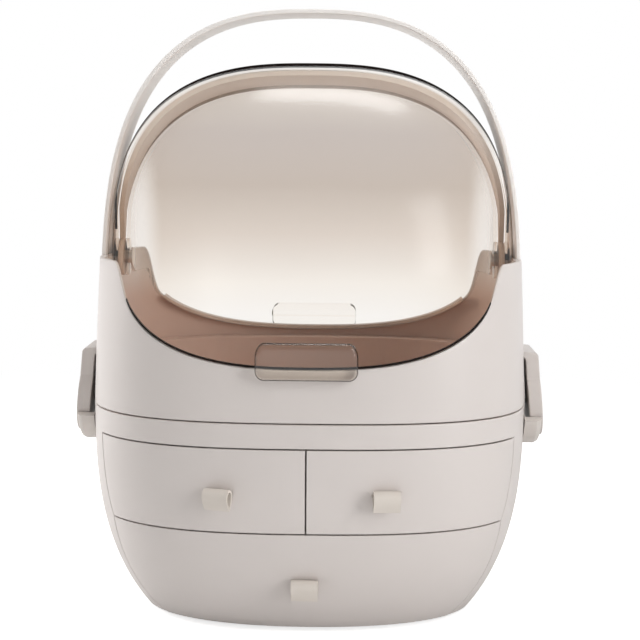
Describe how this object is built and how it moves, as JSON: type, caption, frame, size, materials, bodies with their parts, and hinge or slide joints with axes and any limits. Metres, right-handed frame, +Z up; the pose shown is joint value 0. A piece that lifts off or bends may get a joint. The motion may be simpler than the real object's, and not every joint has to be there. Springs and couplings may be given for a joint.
{
  "type": "makeup organizer",
  "caption": "Egg-shaped dustproof makeup organizer: two clear tinted lids on a common side axis, a fold-back carrying handle and three pull-out drawers.",
  "frame": {"origin": "on the table, under the middle of the organizer", "axes": "+X to the organizer's left-hand side as seen from behind, right as seen from the front; +Y to the back; +Z up"},
  "size_m": [0.3024, 0.2478, 0.3865],
  "materials": {
    "case_plastic": "satin moulded ivory plastic",
    "inner_plastic": "plain moulded ivory plastic",
    "handle_plastic": "satin moulded ivory plastic",
    "tinted_clear": "clear plastic with a light brown tint",
    "dark_seal": "dark soft sealing strip",
    "pull_strap": "soft folded strap",
    "steel": "plain turned steel",
    "foot_rubber": "moulded rubber"
  },
  "bodies": {
    "case": {"upper_shell": "case_plastic", "inner_tray": "inner_plastic", "lid_arch": "case_plastic", "lid_pivot_pins": "steel", "lower_housing": "case_plastic", "drawer_frame": "inner_plastic", "base_plate": "inner_plastic", "base_feet": "foot_rubber", "base_screws": "steel", "hub_base_left": "handle_plastic", "hub_base_right": "handle_plastic", "handle_screws": "steel"},
    "front_lid": {"front_lid": "tinted_clear", "front_lid_tab": "tinted_clear", "front_lid_top_seal": "dark_seal", "front_lid_rim_seal": "dark_seal"},
    "rear_lid": {"rear_lid": "tinted_clear", "rear_lid_tab": "tinted_clear", "rear_lid_rim": "dark_seal"},
    "handle": {"handle": "handle_plastic", "handle_caps": "handle_plastic"},
    "left_drawer": {"left_drawer_front": "case_plastic", "left_drawer_box": "inner_plastic", "left_drawer_pull": "pull_strap"},
    "right_drawer": {"right_drawer_front": "case_plastic", "right_drawer_box": "inner_plastic", "right_drawer_pull": "pull_strap"},
    "bottom_drawer": {"bottom_drawer_front": "case_plastic", "bottom_drawer_box": "inner_plastic", "bottom_drawer_pull": "pull_strap"}
  },
  "joints": [
    {"name": "front_lid_swing", "type": "hinge", "parent": "case", "child": "front_lid", "pos_m": [0, 0, 0.2287], "axis": [1, 0, 0], "range_deg": [-90, 0]},
    {"name": "rear_lid_swing", "type": "hinge", "parent": "case", "child": "rear_lid", "pos_m": [0, 0, 0.2287], "axis": [1, 0, 0], "range_deg": [0, 85]},
    {"name": "handle_fold", "type": "hinge", "parent": "case", "child": "handle", "pos_m": [0, 0, 0.14], "axis": [1, 0, 0], "range_deg": [-90, 0]},
    {"name": "left_drawer_slide", "type": "slide", "parent": "case", "child": "left_drawer", "axis": [0, -1, 0], "range_m": [0, 0.1]},
    {"name": "right_drawer_slide", "type": "slide", "parent": "case", "child": "right_drawer", "axis": [0, -1, 0], "range_m": [0, 0.1]},
    {"name": "bottom_drawer_slide", "type": "slide", "parent": "case", "child": "bottom_drawer", "axis": [0, -1, 0], "range_m": [0, 0.07]}
  ]
}
